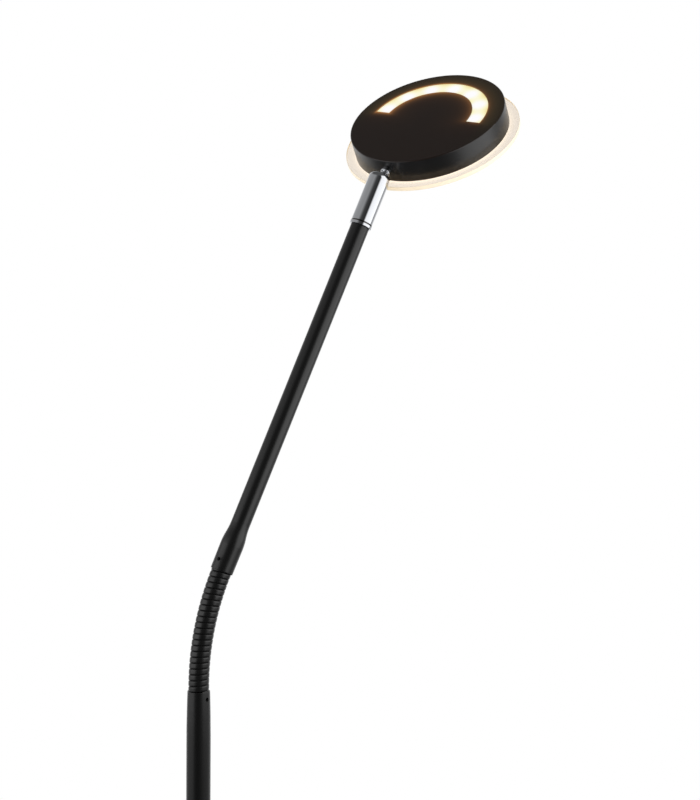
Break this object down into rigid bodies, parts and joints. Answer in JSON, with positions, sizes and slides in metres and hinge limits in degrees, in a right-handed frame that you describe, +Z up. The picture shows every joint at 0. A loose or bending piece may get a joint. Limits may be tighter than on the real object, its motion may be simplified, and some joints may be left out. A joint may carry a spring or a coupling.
{
  "type": "task floor lamp",
  "caption": "Floor lamp with a weighted round base, slim pole, gooseneck, leaning arm and ball knuckle that carry a flat drum head, lit from a slot above and an acrylic disc below.",
  "frame": {"origin": "on the floor, under the middle of the pole and base", "axes": "+Z up along the pole, +X the way the arm leans, cord inlet to -X"},
  "size_m": [0.4362, 0.24, 1.4485],
  "materials": {
    "felt": "needled felt",
    "steel": "zinc plated",
    "cast_iron": "as cast, painted",
    "black_paint": "satin powder coat",
    "black_wire": "satin black wire",
    "black_screw": "black oxide",
    "black_rubber": "matte",
    "chrome": "polished",
    "nylon": "natural",
    "white_board": "white solder mask",
    "light_chip": "phosphor",
    "aluminium": "bare sheet",
    "frosted_acrylic": "frosted, lit warm white from below",
    "clear_acrylic": "polished edge, satin lower face",
    "silicone": "translucent"
  },
  "bodies": {
    "stand": {"base_pad": "felt", "base_plate": "steel", "base_screws": "steel", "base_weight": "cast_iron", "base_cover": "black_paint", "cord_grommet": "black_rubber", "pole_nut": "steel", "pole_washer": "steel", "pole_stud": "steel", "lower_pole": "black_paint", "pole_joiner": "steel", "upper_pole": "black_paint", "pole_set_screw": "black_screw", "pole_lead": "black_rubber", "lower_ferrule": "steel"},
    "neck": {"neck_winding": "black_wire", "neck_core": "black_rubber", "neck_lead": "black_rubber"},
    "arm": {"upper_ferrule": "steel", "arm_tube": "black_paint", "arm_set_screw": "black_screw", "arm_lead": "black_rubber", "arm_spigot": "steel"},
    "cup": {"cup_ring": "chrome", "ball_cup": "chrome", "ball_seat": "nylon", "seat_spring": "steel"},
    "ball": {"ball_stem": "chrome", "stem_washer": "nylon", "stem_nut": "steel", "stem_lead": "black_rubber"},
    "head": {"head_housing": "black_paint", "uplight_diffuser": "frosted_acrylic", "uplight_board": "white_board", "uplight_chips": "light_chip", "carrier_plate": "aluminium", "carrier_screws": "steel", "downlight_board": "white_board", "downlight_chips": "light_chip", "driver_board": "white_board", "head_lead": "black_rubber", "diffuser_disc": "clear_acrylic", "disc_gasket": "silicone"}
  },
  "joints": [
    {"name": "neck_bend", "type": "hinge", "parent": "stand", "child": "neck", "pos_m": [0.00083, 0, 0.92402], "axis": [0, 1, 0], "range_deg": [-45, 30], "deforming": ["neck_winding", "neck_core", "neck_lead"]},
    {"name": "neck_sway", "type": "hinge", "parent": "neck", "child": "arm", "pos_m": [0.01206, 0, 0.97965], "axis": [0.9506, 0, -0.3106], "range_deg": [-40, 40], "deforming": ["neck_winding", "neck_core", "neck_lead"]},
    {"name": "knuckle_turn", "type": "hinge", "parent": "arm", "child": "cup", "pos_m": [0.15249, 0, 1.30188], "axis": [0.4026, 0, 0.9154], "range_deg": [-150, 150]},
    {"name": "head_tilt", "type": "hinge", "parent": "cup", "child": "ball", "pos_m": [0.17121, 0, 1.34445], "axis": [-0.4928, 0.8427, 0.2167], "range_deg": [-31.7, 18]},
    {"name": "head_roll", "type": "hinge", "parent": "ball", "child": "head", "pos_m": [0.17121, 0, 1.34445], "axis": [0.7482, 0.2832, 0.6], "range_deg": [-170, 170]}
  ]
}
